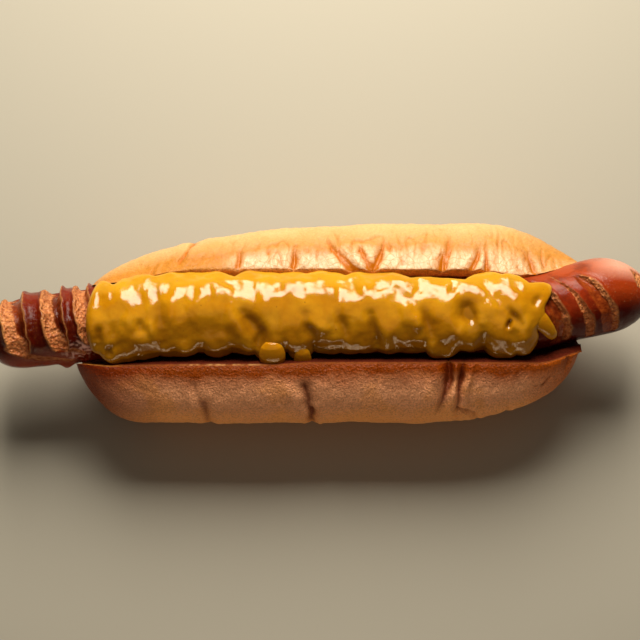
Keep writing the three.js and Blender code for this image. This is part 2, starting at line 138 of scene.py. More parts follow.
def cut_relief(ring, degrees, ragged):
    """Height over the round casing, how much is open meat, how much of that is light, and how near a lip is. Across a
    cut, lips rise as bell curves at -1 and 1 and the floor falls between them to its deepest line. Along it, the
    opening is the square root of 1 - t^4, or of 1 - t^2.4 where it ends in a point. The light meat is a band of the
    cut, mostly on the side that faces the key light, where its paleness is painted light; it spreads out at its front
    end. A tear is a shallow trough, a bell curve of the distance to its line on the unrolled casing, and a fold of the
    skin is a bell curve both ways."""
    height, meat, light, edge = (np.zeros(ring.shape) for _ in range(4))
    for middle, half, back_share, depth, first, last, left_lip, right_lip, skew, light_from, light_to in CUTS:
        along = 2 * (degrees - first) / (last - first) - 1
        end = 4 if middle < 0 else 2.4
        opening = np.sqrt(np.clip(1 - np.abs(along) ** np.where(along > 0, end, 4), 0, 1))
        width = half * (0.35 + 0.65 * opening) * mix(back_share, 1, np.clip(0.5 + 0.5 * along, 0, 1))
        across = (ring + ragged - middle) / width
        lip = np.where(across < 0, left_lip, right_lip) * opening
        height += lip * bell((np.abs(across) - 1) / np.where(across > 1, 0.34, 0.24))
        fall = np.where(across < skew, (skew - across) / (1 + skew), (across - skew) / (1 - skew))
        height -= depth * opening * np.clip(1 - fall**1.7, 0, 1)
        height -= 0.9 * opening * (depth > 2.5) * bell((across - 0.35) / 0.22) * bell((along - 0.52) / 0.22)
        in_cut = ease((1.02 - np.abs(across)) * half / 0.5) * ease(opening / 0.3)
        wide = (0.7 if middle < 0 else 0.1) * ease((along - 0.45) / 0.4)
        in_band = ease((across - light_from + wide) / 0.22) * ease((light_to + wide - across) / 0.22)
        light = np.where(in_cut > 0.5, np.maximum(light, in_band), light)
        edge = np.maximum(edge, bell((np.abs(across) - 0.96) * half / 0.3) * ease(opening / 0.5) * np.minimum(1, lip))
        meat = np.maximum(meat, in_cut)
    per_degree = SAUSAGE["radius"] * np.pi / 180
    for ring_0, degrees_0, ring_1, degrees_1, half in TEARS:
        run, climb = ring_1 - ring_0, (degrees_1 - degrees_0) * per_degree
        right, up = ring + ragged - ring_0, (degrees - degrees_0) * per_degree
        along = np.clip((right * run + up * climb) / (run**2 + climb**2), 0, 1)
        trough = bell(np.hypot(right - run * along, up - climb * along) / half)
        height -= 0.5 * trough
        meat, light = np.maximum(meat, ease(2.2 * trough - 0.6)), np.maximum(light, ease(2.2 * trough - 0.4))
    for middle, towards, length, spread, bulge in SKIN_FOLDS:
        height += bulge * bell((ring - middle) / length) * bell((degrees - towards) / spread)
    return height, meat, light, edge


def make_piece(name, sheets, node, marks=()):
    """Joins sheets, each rows x columns x 3 points in millimetres and a dict of marks per point, into one mesh in
    metres. Points that coincide to a thousandth of a millimetre are merged, so seams, rims and tips close, and faces
    are turned outwards by the sign of the volume."""
    points = np.concatenate([sheet.reshape(-1, 3) for sheet, _ in sheets]) * MM
    quads, start = [], 0
    for sheet, _ in sheets:
        rows, columns = sheet.shape[:2]
        index = start + np.arange(rows * columns).reshape(rows, columns)
        quads.append(np.stack([index[:-1, :-1], index[1:, :-1], index[1:, 1:], index[:-1, 1:]], axis=-1).reshape(-1, 4))
        start += rows * columns
    _, first, same = np.unique(np.round(points / 1e-6).astype(np.int64), axis=0, return_index=True, return_inverse=True)
    points, quads = points[first], same.reshape(-1)[np.concatenate(quads)]
    shut = quads == np.roll(quads, -1, axis=1)
    faces = quads[~shut.any(axis=1)].tolist()
    for corner in range(4):
        narrow = quads[shut[:, corner] & (shut.sum(axis=1) == 1)]
        faces += np.delete(narrow, corner, axis=1).tolist()
    solid = quads[~shut.any(axis=1)]
    a, b, c, d = (points[solid[:, k]] for k in range(4))
    volume = np.sum(a * np.cross(b, c)) + np.sum(a * np.cross(c, d))
    if volume < 0:
        faces = [face[::-1] for face in faces]
    mesh = bpy.data.meshes.new(name)
    mesh.from_pydata(points.tolist(), [], faces)
    for mark in marks:
        values = np.concatenate([extra[mark].reshape(-1) for _, extra in sheets])[first]
        mesh.attributes.new(mark, "FLOAT", "POINT").data.foreach_set("value", values.astype(np.float32))
    mesh.shade_smooth()
    mesh.update()
    piece = bpy.data.objects.new(name, mesh)
    bpy.context.scene.collection.objects.link(piece)
    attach(piece, "root")
    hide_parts(node)
    return piece


def spaced(knots, count):
    """Places from a list of (place, steps per mm) pairs: the steps are laid so that their density follows the list."""
    place, density = np.array(knots, dtype=float).T
    fine = np.linspace(place[0], place[-1], 4000)
    amount = np.concatenate([[0], np.cumsum(np.interp(fine[1:], place, density) * np.diff(fine))])
    return np.interp(np.linspace(0, amount[-1], count), amount, fine)


# The rings stand closest at the open cuts, and crowd together over the last 2.2 mm of each tip.
LEFT, RIGHT, CROWDED = SAUSAGE["left"], SAUSAGE["right"], 2.2
rings = spaced([(LEFT, 4), (-70, 4), (-66, 1), (56, 1), (60, 4), (RIGHT, 4)], 520)
rings = np.concatenate([LEFT + CROWDED * (np.linspace(0, 1, 8) ** 2)[:-1], rings[rings > LEFT + CROWDED][:-1]])
rings = np.concatenate([rings[rings < RIGHT - CROWDED], RIGHT - CROWDED * (np.linspace(1, 0, 8) ** 2)])
turns = np.linspace(0, 2 * np.pi, 181)
ring, turn = np.meshgrid(rings, turns, indexing="ij")
turn[:, -1] = 0
degrees = np.degrees(turn)
degrees = np.where(degrees > 270, degrees - 360, degrees)
round_place = np.stack([ring, SAUSAGE["radius"] * np.cos(turn), SAUSAGE["radius"] * np.sin(turn)], axis=-1)
ragged = 0.5 * noise(round_place * (0.35, 1, 1), 4.0, 1) + 0.3 * noise(round_place, 1.7, 2)
height, meat, light, edge = cut_relief(ring, degrees, ragged)
x = ring + lean(ring, turn)
radius = sausage_radius(x)
share = radius / SAUSAGE["radius"]
grit = 0.18 * noise(round_place, 1.5, 3) + 0.24 * noise(round_place, 0.75, 4)
# The skin is shrivelled round a spot at the front of the left end, 82.5 mm from the middle, and a pale painted sheen
# lies in patches over it there.
shrivelled = bell((ring + 82.5) / 5) * bell((degrees - 143) / 18)
dimples = 0.12 * noise(round_place, 5.0, 5) + 0.06 * noise(round_place * (0.5, 1, 1), 1.8, 6)
shrivels = 0.5 * shrivelled * noise(round_place * (1, 0.7, 0.7), 2.0, 7)
shrivel_sheen = shrivelled * ease(0.45 + 1.6 * noise(round_place, 1.2, 8))
r = radius + share * (height + mix(dimples + shrivels, mix(0.12 * grit + dimples, grit, light), meat))
middle_y, middle_z = axis(x)
skin = np.stack([x, middle_y + r * np.cos(turn), middle_z + r * np.sin(turn)], axis=-1)
# Marks for the colour: how far the casing faces the back, towards the key light, for painted light and shade; how deep
# a cut goes, for painted shade in it; and where a pale painted sheen lies on the shrivelled skin.
marks = {
    "meat": meat, "light": light, "lip": edge, "sunk": np.clip(-height / 4, 0, 1), "back": share * np.cos(turn),
    "shrivel_sheen": shrivel_sheen,
}
sausage = make_piece("scored_sausage", [(skin, marks)], "sausage", marks=tuple(marks))


def linear(hex_colour):
    """A colour written as sRGB hex, as the linear red, green, blue and alpha that a shader takes."""
    srgb = np.array([int(hex_colour[k : k + 2], 16) for k in (1, 3, 5)]) / 255
    return (*np.where(srgb <= 0.04045, srgb / 12.92, ((srgb + 0.055) / 1.055) ** 2.4), 1.0)


def add(material, kind, inputs, output=0, **settings):
    """Adds a node to a material and gives one of its outputs. An input is a value, an sRGB hex colour, or another
    node's output to link. Settings are the node's own."""
    node = material.node_tree.nodes.new(kind)
    for key, value in settings.items():
        setattr(node, key, value)
    for socket, value in inputs.items():
        if isinstance(value, bpy.types.NodeSocket):
            material.node_tree.links.new(value, node.inputs[socket])
        else:
            node.inputs[socket].default_value = linear(value) if isinstance(value, str) else value
    return node.outputs[output]


def coated(material, colour, coats):
    """A colour with coats over it, one after the other. Each coat is a value, the two places between which the coat
    comes in, how much of it there is at most, and its colour. Colours are sRGB hex or another node's output."""
    for value, start, full, most, coat in coats:
        share = add(material, "ShaderNodeMapRange", {0: value, 1: start, 2: full, 4: most})
        colour = add(material, "ShaderNodeMix", {0: share, 6: colour, 7: coat}, 2, data_type="RGBA")
    return colour


def new_material(name, marks=()):
    """An empty material, with its shader, the place that patterns are read from, and the piece's own marks, to which
    the place along the bun is added."""
    material = bpy.data.materials.new(name)
    material.use_nodes = True
    place = add(material, "ShaderNodeTexCoord", {}, "Object")
    found = {mark: add(material, "ShaderNodeAttribute", {}, "Fac", attribute_name=mark) for mark in marks}
    found["along"] = add(material, "ShaderNodeSeparateXYZ", {0: place})
    return material, material.node_tree.nodes["Principled BSDF"], place, found


def finish_with(material, shader, links, values):
    """Links outputs to the shader's sockets, and sets values on others."""
    for socket, output in links.items():
        material.node_tree.links.new(output, shader.inputs[socket])
    for socket, value in values.items():
        shader.inputs[socket].default_value = value


# Grilled casing: collagen browned to a glossy red-brown, blotched every 7 mm or so, and satin at its right tip. Its
# colour holds painted light: lighter on its back and top, where the key light falls, and darker on its front, with a
# painted orange glow low on the front of the left end, a pale pink painted sheen on the back of the right tip, and a
# pale painted sheen where it shrivelled. In the cuts lies coarse ground pork with grains of about 1 mm, moist and
# orange-brown: paler where the casing tore and on the side of each cut that faces the key light, the latter as painted
# light, darker on the other side and where it is deep, as painted shade, and pale along the lips.
casing, shader, place, mark = new_material("grilled_casing_and_coarse_pork", marks)
blotches = add(casing, "ShaderNodeTexNoise", {"Vector": place, "Scale": 1 / 0.007, "Detail": 5.0, "Roughness": 0.65})
specks = add(casing, "ShaderNodeTexNoise", {"Vector": place, "Scale": 1 / 0.0011, "Detail": 4.0, "Roughness": 0.75})
grains = add(casing, "ShaderNodeTexVoronoi", {"Vector": place, "Scale": 1 / 0.0011, "Randomness": 1.0})
# Each skin is lighter on its back, where the key light falls, and darker on its front: painted light and shade. The
# left one also has a painted orange glow low on its front, and the tip a pale pink painted sheen on its back.
left_skin = coated(casing, "#480C02", [
    (mark["back"], -0.1, 0.7, 1.0, "#761A05"), (mark["back"], -0.6, -0.95, 0.9, "#9A3000"),
    (specks, 0.52, 0.68, 0.4, "#8A4A18"),
])
right_skin = coated(casing, "#8E2A0A", [
    (mark["back"], 0.1, 0.7, 1.0, "#A8441C"), (mark["back"], -0.1, -0.8, 1.0, "#540E02"),
    (specks, 0.58, 0.72, 0.4, "#B86830"),
])
tip_skin = coated(casing, "#98330C", [
    (mark["back"], 0.2, 0.65, 1.0, "#DC9C82"), (mark["back"], 0.0, -0.5, 1.0, "#480500"),
    (specks, 0.6, 0.76, 0.35, "#DC9C6C"),
])
# The last coat is a pale painted sheen on the shrivelled skin.
browned = coated(casing, left_skin, [
    (mark["along"], 0.05, 0.075, 1.0, right_skin), (blotches, 0.5, 0.36, 0.5, "#501002"),
    (mark["along"], 0.083, 0.094, 1.0, tip_skin), (mark["shrivel_sheen"], 0.1, 0.6, 0.9, "#DCA494"),
])
# The light meat is painted light on the lit side of a cut, and darker on its front, painted shade.
lit_and_torn_meat = coated(casing, "#80320C", [
    (specks, 0.32, 0.66, 1.0, "#EA9A5E"), (mark["back"], 0.0, -0.8, 0.45, "#A4501E"),
    (blotches, 0.52, 0.36, 0.5, "#90401A"),
])
# The dark meat of the shaded side, darker still where the cut is deep, is painted shade.
cut_meat = coated(casing, "#7A280A", [
    (specks, 0.36, 0.64, 1.0, "#A64C1A"), (blotches, 0.52, 0.38, 0.7, "#601A06"),
    (mark["sunk"], 0.5, 0.8, 0.8, "#4E1303"),
])
cut_meat = coated(casing, cut_meat, [
    (mark["light"], 0.0, 1.0, 1.0, lit_and_torn_meat), (mark["sunk"], 0.7, 1.0, 0.8, "#4E1303"),
])
colour = coated(casing, browned, [(mark["meat"], 0.0, 1.0, 1.0, cut_meat), (mark["lip"], 0.0, 1.0, 0.8, "#E09A5A")])
light_band = add(casing, "ShaderNodeMath", {0: mark["meat"], 1: mark["light"]}, operation="MULTIPLY")
satin_tip = add(casing, "ShaderNodeMapRange", {0: mark["along"], 1: 0.083, 2: 0.094, 3: 0.09, 4: 0.28})
dull = add(casing, "ShaderNodeMapRange", {0: light_band, 3: satin_tip, 4: 0.36})
coarse = add(casing, "ShaderNodeMath", {0: grains, 1: light_band}, operation="MULTIPLY")
fine = add(casing, "ShaderNodeMath", {0: specks, 1: 0.3, 2: coarse}, operation="MULTIPLY_ADD")
bump = add(casing, "ShaderNodeBump", {"Strength": 0.9, "Distance": 0.0007, "Height": fine})
links = {"Base Color": colour, "Roughness": dull, "Normal": bump}
values = {
    "IOR": 1.4, "Specular IOR Level": 0.25,
    "Subsurface Weight": 0.05, "Subsurface Radius": (1.0, 0.3, 0.1), "Subsurface Scale": 0.0012,
}
finish_with(casing, shader, links, values)
sausage.data.materials.append(casing)

# ---- Bun ----
# A soft white bun, split along its top and still joined underneath. Its back half was brushed with egg and baked to a
# glossy golden skin, its front half is duller and browner, and both creased when the bun was opened.
FRONT_Y, BACK_Y = -16.5, 13.1  # where the two rims of the split lie
TIP_Z, FRONT_RISE, BACK_RISE, DOME_HALF = 31.0, 9, 10, 83.5  # the rims' height at the tips, and their dome over it
FRONT_HALF, BACK_HALF = 33.2, 33.5  # the loaf's half-widths
MIDDLE_Z, SQUARENESS = 21.0, 2.3  # the height of its widest line, and the power of its oval
CLEARANCE = 0.6  # the groove's room round the sausage
ENDS = {  # left tip, its run and the two powers of its curve, then the same at the right
    "front": np.array([-82.0, 20, 2, 1.45, 82.5, 55, 2, 2.3]),
    "under": np.array([-80.5, 30, 2, 2, 81.2, 36, 2, 2]),
    "back": np.array([-77.2, 97, 1.8, 1.55, 82.2, 31, 2, 1.25]),
}


def rims(x):
    """The front and the back rim of the split, as y and z. Both sink with the domed ends, as the root of 1 - |x|^5."""
    dome = np.sqrt(1 - np.minimum(1, np.abs(x / DOME_HALF) ** 5))
    front_y = FRONT_Y + 1.1 * ease((-70 - x) / 12) + 0.7 * ease((x + 18) / 14) + 4.4 * ease((x - 67) / 18)
    back_y = BACK_Y + 1.2 * bell((x + 22) / 24) - 3.9 * ease((-42 - x) / 22) + 5 * ease((x - 68) / 16)
    return front_y, TIP_Z + FRONT_RISE * dome, back_y, TIP_Z + BACK_RISE * dome


def groove(x, s=None, angle=None):
    """The wall of the groove, seen from the sausage's middle: a funnel below the front rim, round underneath, and
    straight up to the back rim. s runs from the front rim (0) under the sausage to the back rim (1), or the angle round
    the sausage is given instead. Gives the distance, and the point's y and z."""
    front_y, front_z, back_y, back_z = rims(x)
    middle_y, middle_z = axis(x)
    snug = SAUSAGE["radius"] + CLEARANCE
    front_wall = np.maximum(snug, middle_y - front_y)
    back_wall = np.maximum(snug - CLEARANCE, back_y - middle_y)
    front_angle = np.pi - np.arctan2(front_z - middle_z, front_wall)
    back_rise = np.arctan2(back_z - middle_z, back_wall)
    if angle is None:
        angle = mix(front_angle, 2 * np.pi + back_rise, s)
    past = angle - 2 * np.pi
    narrowed = ease((angle - front_angle) / (np.pi - front_angle))
    standing = mix(front_wall / np.maximum(0.05, -np.cos(angle)), snug + 1, narrowed)
    under = mix(snug + 1, snug, ease((angle - np.pi) / np.radians(75)))
    rising = mix(snug, back_wall, ease(past / back_rise)) / np.cos(np.clip(past, 0, 1.4))
    distance = np.where(angle < np.pi, standing, np.where(past < 0, under, rising))
    return distance, middle_y + distance * np.cos(angle), middle_z + distance * np.sin(angle)


def loaf(x, s):
    """The outside of the loaf where it is thickest: a squarish oval of power 2.3 through both rims. Gives y, z, the way
    down from the rim (0 at the rim, 1 at the widest line and 2 on the table), and whether it is the front half."""
    front_y, front_z, back_y, back_z = rims(x)
    start = np.pi - np.arccos((-front_y / FRONT_HALF) ** (SQUARENESS / 2))
    end = 2 * np.pi + np.arccos((back_y / BACK_HALF) ** (SQUARENESS / 2))
    theta = mix(start, end, s)
    power = 2 / SQUARENESS
    c, d = np.cos(theta), np.sin(theta)
    is_front = c < 0
    rim_sine = np.sin(np.where(is_front, start, end)) ** power
    up = (np.where(is_front, front_z, back_z) - MIDDLE_Z) / rim_sine
    half = np.where(is_front, FRONT_HALF, BACK_HALF)
    y = np.sign(c) * half * np.abs(c) ** power
    z = MIDDLE_Z + np.where(d > 0, up, -MIDDLE_Z - 0.8) * np.abs(d) ** power
    rim_y = np.abs(np.where(is_front, front_y, back_y))
    t = np.where(d > 0, (np.abs(y) - rim_y) / (half - rim_y), 1 - (z - MIDDLE_Z) / MIDDLE_Z)
    return y, z, t, is_front


def wall_share(u, s):
    """The place x for a share u of the bun's length, and how much of the loaf's thickness stands there: 0 at the tips,
    and 1 - (1 - d)^p to the power 1/q along each end."""
    to_back = ease((s - 0.3) / 0.4)[..., None]
    under = ease(1 - np.abs(2 * to_back - 1))
    left, left_run, p, q, right, right_run, p2, q2 = np.moveaxis(
        mix(mix(ENDS["front"], ENDS["back"], to_back), ENDS["under"], under), -1, 0
    )
    x = mix(left, right, u)
    from_left, from_right = np.clip((x - left) / left_run, 0, 1), np.clip((right - x) / right_run, 0, 1)
    return x, (1 - (1 - from_left) ** p) ** (1 / q) * (1 - (1 - from_right) ** p2) ** (1 / q2)


# Folds: x and way down from the rim where each starts, the same where it ends, half-width, depth (less than 0 for a
# ridge), and 1 on the front half or 0 on the back. Opening the bun pressed most of them in.
FOLDS = [
    (7.6, 0.0, -0.6, 0.60, 1.5, 1.5, 0), (9.2, 0.0, 4.0, 0.40, 1.0, 0.9, 0), (6.6, 0.08, 2.2, 0.42, 0.6, -0.5, 0),
    (13.6, 0.10, 9.2, 0.52, 1.2, 1.0, 0), (14.4, 0.0, 19.0, 0.60, 1.5, 1.3, 0), (12.2, 0.0, 12.6, 0.25, 1.6, 0.5, 0),
    (19.9, 0.36, 19.4, 0.62, 0.7, 0.5, 0), (24.3, 0.12, 24.2, 0.34, 0.9, 0.6, 0),
    (25.8, 0.14, 25.9, 0.30, 0.6, 0.4, 0), (36.6, 0.0, 37.6, 0.42, 1.7, 1.3, 0),
    (38.6, 0.30, 39.8, 0.78, 1.1, 0.7, 0), (33.3, 0.0, 33.0, 0.16, 0.8, 0.5, 0),
    (46.2, 0.02, 50.6, 0.56, 1.3, 1.3, 0), (50.8, 0.02, 51.8, 0.60, 0.9, 1.2, 0),
    (49.0, 0.05, 51.2, 0.45, 0.5, -0.5, 0), (63.2, 0.05, 60.4, 0.34, 1.0, 0.6, 0),
    (67.4, 0.03, 64.8, 0.60, 1.4, 1.0, 0), (70.6, 0.10, 69.6, 0.55, 0.9, 0.4, 0),
    (-29.4, 0.04, -28.5, 0.52, 1.1, 1.1, 0), (-26.4, 0.05, -26.4, 0.26, 0.7, 0.6, 0),
    (-31.6, 0.04, -31.2, 0.40, 0.8, 0.35, 0), (-15.2, 0.06, -17.0, 0.32, 0.8, 0.7, 0),
    (-11.6, 0.04, -10.8, 0.50, 1.3, 1.2, 0), (-19.2, 0.34, -18.8, 0.50, 0.9, 0.4, 0),
    (-6.6, 0.34, -6.6, 0.50, 0.9, 0.4, 0), (-2.2, 0.10, -4.4, 0.36, 0.8, 0.4, 0),
    (-48.6, 0.30, -44.6, 1.0, 1.0, 0.8, 0), (-49.8, 0.26, -46.0, 0.90, 0.6, -0.3, 0),
    (-56.2, 0.06, -54.6, 0.55, 0.6, -0.35, 0), (-58.0, 0.10, -56.4, 0.5, 0.6, 0.3, 0),
    (-44.6, 0.80, -43.4, 1.5, 1.9, 0.5, 0), (42.0, 0.45, 47.0, 0.50, 0.8, 0.3, 0),
    (27.5, 0.62, 36.0, 0.80, 1.4, 0.25, 0), (38.4, -0.12, 39.2, 0.56, 2.0, 2.6, 1),
    (39.4, 0.30, 34.6, 1.02, 2.2, 1.4, 1), (43.6, -0.10, 42.2, 0.60, 1.3, 1.7, 1),
    (42.4, 0.26, 42.0, 1.10, 1.0, 1.5, 1), (40.9, 0.02, 40.6, 0.80, 0.8, -0.9, 1),
    (43.0, 0.84, 47.4, 0.97, 1.6, 0.9, 1), (-7.6, 0.42, -5.4, 1.15, 2.0, 1.2, 1),
    (-5.3, 0.85, -5.1, 1.4, 1.1, 1.0, 1), (-44.0, 0.36, -39.6, 0.95, 1.6, 0.35, 1),
    (-40.2, 0.70, -39.2, 1.4, 1.5, 0.9, 1), (15.2, 0.0, 15.0, 0.36, 0.6, -0.3, 1),
    (16.6, 0.0, 16.2, 0.42, 0.8, 0.45, 1), (47.5, 0.92, 51.5, 1.3, 1.0, 0.6, 1),
    (66.4, 0.62, 69.6, 0.66, 0.9, 0.5, 1), (69.6, 0.66, 73.2, 0.40, 0.9, 0.6, 1), (58.6, 0.9, 59.4, 1.3, 0.9, 0.4, 1),
    (77.6, 0.0, 77.0, 0.85, 1.2, 0.7, 1), (79.6, 0.0, 79.0, 0.85, 0.8, -0.5, 1),
    (-66.0, 0.30, -58.0, 0.55, 2.5, 0.25, 1), (-18.6, 0.05, -15.6, 0.4, 1.2, 0.3, 1),
]


def fold_depth(x, t, is_front):
    """How deep the folds press into the crust. Across each lie a bell curve and, in its middle, a narrow V (e to the
    power of minus the distance), with a low bell curve standing up on both sides. Each narrows and fades towards its
    far end."""
    depth = np.zeros(x.shape)
    for x0, t0, x1, t1, half, deep, front in FOLDS:
        along = (t - t0) / (t1 - t0)
        strength = deep * ease((along + 0.12) / 0.16) * ease((1.1 - along) / 0.75) * (is_front == bool(front))
        across = np.abs(x - x0 - (x1 - x0) * along) / (half * (1.1 - 0.4 * np.clip(along, 0, 1)))
        section = 0.5 * bell(across / 1.2) + 0.6 * np.exp(-across / 0.45) - 0.25 * bell((across - 2.3) / 0.9)
        depth += strength * section
    return depth


tip_steps = 0.02 * np.linspace(0, 1, 14) ** 2
middle_steps = spaced([(0.02, 0.8), (0.28, 0.8), (0.34, 1.2), (0.92, 1.2), (0.98, 0.8)], 376)
u_steps = np.unique(np.round(np.concatenate([middle_steps, tip_steps, 1 - tip_steps]), 9))
s_steps = spaced([(0, 3.6), (0.06, 2.4), (0.2, 1.6), (0.3, 0.4), (0.7, 0.4), (0.8, 1.6), (0.94, 2.4), (1, 3.6)], 122)
u, s = np.meshgrid(u_steps, s_steps, indexing="ij")
x, share = wall_share(u, s)
share[[0, -1]] = 0
_, wall_y, wall_z = groove(x, s)
y, z, way_down, is_front = loaf(x, s)
spot = np.stack([x, y, z], axis=-1)
swell = 0.36 * noise(spot, 22, 11) + 0.28 * noise(spot, 9, 12) + 0.13 * noise(spot * (1.6, 1, 1), 4, 13)
wrinkles = 0.14 * noise(spot * (1.3, 0.8, 0.8), 2.2, 14) * mix(1, 0.5, is_front) + 0.05 * noise(spot, 1.2, 18)
# Fine creases lie where a smooth random field crosses zero. They run up from the rim, mostly on the back half.
strewn = mix(0.25, 1, ease((x + 38) / 12)) * ~is_front * ease((1.1 - way_down) / 0.5) * ease(share * 3)
creases = 0.5 * strewn * bell(noise(spot * (1.4, 0.45, 0.45), 4.6, 19) / 0.10) * ease(noise(spot, 9, 24) + 0.6)
folds = fold_depth(x + 0.5 * noise(spot, 5, 17), way_down, is_front)
press = (np.clip(1.3 * folds, -1.0, 3.4) + creases - swell - wrinkles) * ease(share * 3)
folds = folds + creases
slope_y, slope_z = np.gradient(y, axis=1), np.gradient(z, axis=1)
slope = np.maximum(1e-9, np.hypot(slope_y, slope_z))
press_y, press_z = press * slope_z / slope, -press * slope_y / slope
outward = share * np.where((s == 0) | (s == 1), 0, 1)
crust = np.stack([x, mix(wall_y, y, outward), mix(wall_z, z, outward)], axis=-1)
crust[..., 1] -= press_y
crust[..., 2] = np.maximum(0, crust[..., 2] - press_z * ease(z / 6))

# The groove's walls lean in over the filling below their rims, the back one by up to 1.7 mm, the front one by 0.5 mm.
# They are rough like torn bread, most of all along the left half of the front rim, where crumb pulled out with the cut.
# The folds that reach a rim press it down with them.
front_y, front_z, back_y, back_z = rims(x)
is_back_wall = s > 0.5
depth = np.where(is_back_wall, back_z, front_z) - wall_z
lean_in = ease(depth / 3.5) * ease((11 - depth) / 5) * ease((74 - x) / 14) * ease((x + 72) / 14)
lean_in *= np.where(is_back_wall, 1.7, -0.5)
tear = ease((x + 50) / 6) * ease((-18 - x) / 8) * ease((1.6 - depth) / 1.2) * ~is_back_wall
wall = np.stack([x, wall_y, wall_z], axis=-1)
pull = 0.12 * noise(wall, 1.7, 15) + (0.08 + 0.5 * tear) * noise(wall, 1.3, 16)
pull *= ease(share * 4) * np.sin(np.pi * s) ** 0.3
tear *= ease((pull + 0.1) / 0.2)
at_rim = ease((4 - depth) / 4)
rim_y = np.where(is_back_wall, press_y[:, -1:], press_y[:, :1]) * at_rim
rim_z = np.where(is_back_wall, press_z[:, -1:], press_z[:, :1]) * at_rim
crumb = np.stack([x, wall_y - lean_in + pull - rim_y, wall_z + 0.4 * pull - rim_z], axis=-1)

# Each section through the bun is a closed loop, out over the crust and back along the groove. Its two rims are rounded:
# every point near one moves towards the middle of its neighbours, 22 times.
last = len(s_steps) - 1
step = np.arange(2 * last) % last
softness = 0.5 * ease((16 - np.minimum(step, last - step)) / 10)
softness = softness * ease(np.minimum(u_steps, 1 - u_steps)[:, None] / 0.004)
section = np.concatenate([crust[:, :-1], crumb[:, :0:-1]], axis=1)
for _ in range(22):
    between = 0.5 * (np.roll(section, 1, axis=1) + np.roll(section, -1, axis=1))
    section = section + softness[..., None] * (between - section)
# Towards both ends the back half closes in over the sausage.
hug = 1.5 * ease((section[..., 0] - 48) / 14) + 1.7 * ease((-52 - section[..., 0]) / 12)
near_back_rim = ease((section[..., 2] - 26) / 12) * ease((section[..., 1] - 4) / 6) * ease((30 - section[..., 1]) / 14)
section[..., 1] -= hug * near_back_rim
crust[:, :-1], crust[:, -1] = section[:, :last], section[:, last]
crumb[:, :0:-1], crumb[:, 0] = section[:, last:], section[:, 0]
none, whole = np.zeros(x.shape), np.ones(x.shape)
crust_marks = {
    "crumb": none, "front": np.where(is_front, 1.0, 0.0), "fold": np.clip(folds, 0, 2.5) * ease(share * 3),
    "down": way_down, "depth": none, "tear": none,
}
crumb_marks = {"crumb": whole, "front": ~is_back_wall, "fold": none, "down": none, "depth": depth, "tear": tear}
sheets = [(crust, crust_marks), (crumb[:, ::-1], {name: field[:, ::-1] for name, field in crumb_marks.items()})]
bun = make_piece("split_bun", sheets, "bun", marks=tuple(crust_marks))


def baked(name, grain_size, grit, pit_depth):
    """The start of a material for baked dough: its marks, patches of about 13 mm, and a leathery grain with pores, as
    bump. Grit is how strongly the grain darkens and lightens the colour."""
    material, shader, place, found = new_material(name, crust_marks)
    broad = {"Vector": place, "Scale": 1 / 0.013, "Detail": 4.0, "Roughness": 0.6}
    patches = add(material, "ShaderNodeTexNoise", broad)
    fine = {"Vector": place, "Scale": 1 / grain_size, "Detail": 2.0, "Roughness": 0.8}
    grain = add(material, "ShaderNodeTexNoise", fine)
    pores = add(material, "ShaderNodeTexVoronoi", {"Vector": place, "Scale": 0.55 / grain_size, "Randomness": 1.0})
    height = add(material, "ShaderNodeMath", {0: pores, 1: 0.5, 2: grain}, operation="MULTIPLY_ADD")
    found["normal"] = add(material, "ShaderNodeBump", {"Strength": 0.9, "Distance": pit_depth, "Height": height})
    found["patches"], found["place"] = patches, place
    wavy = {0: patches, 1: 0.5, 2: found["down"]}
    found["wavy_down"] = add(material, "ShaderNodeMath", wavy, operation="MULTIPLY_ADD")
    found["grain"] = add(material, "ShaderNodeMapRange", {0: grain, 1: 0.3, 2: 0.7, 3: 1 - grit, 4: 1 + grit})
    return material, shader, found


def bake(material, shader, found, colour, values):
    """The end of it: the colour times its grain, on the bun."""
    grained = add(material, "ShaderNodeVectorMath", {0: colour, "Scale": found["grain"]}, operation="SCALE")
    finish_with(material, shader, {"Base Color": grained, "Normal": found["normal"]}, values)
    bun.data.materials.append(material)


# Egg-glazed crust, the back half: a thin baked skin, golden and glossy, paler round its widest line and browner below.
# Near the rim, between the folds, lie glossy pads with a pale painted highlight on them, and the folds are darker
# orange, painted shade. The glaze on the pads is crazed, in cells of about 3 mm.
skin, shader, found = baked("egg_glazed_golden_crust", 0.0008, 0.12, 0.0003)
crazing = {"Vector": found["place"], "Scale": 1 / 0.0028, "Randomness": 1.0}
crack = add(skin, "ShaderNodeTexVoronoi", crazing, feature="DISTANCE_TO_EDGE")
near_rim = add(skin, "ShaderNodeMapRange", {0: found["wavy_down"], 1: 0.75, 2: 0.5})
not_left = add(skin, "ShaderNodeMapRange", {0: found["along"], 1: -0.036, 2: -0.026})
highlight_pads = add(skin, "ShaderNodeMath", {0: near_rim, 1: not_left}, operation="MULTIPLY")
cracked = add(skin, "ShaderNodeMapRange", {0: crack, 1: 0.07, 2: 0.02})
cracked = add(skin, "ShaderNodeMath", {0: cracked, 1: highlight_pads}, operation="MULTIPLY")
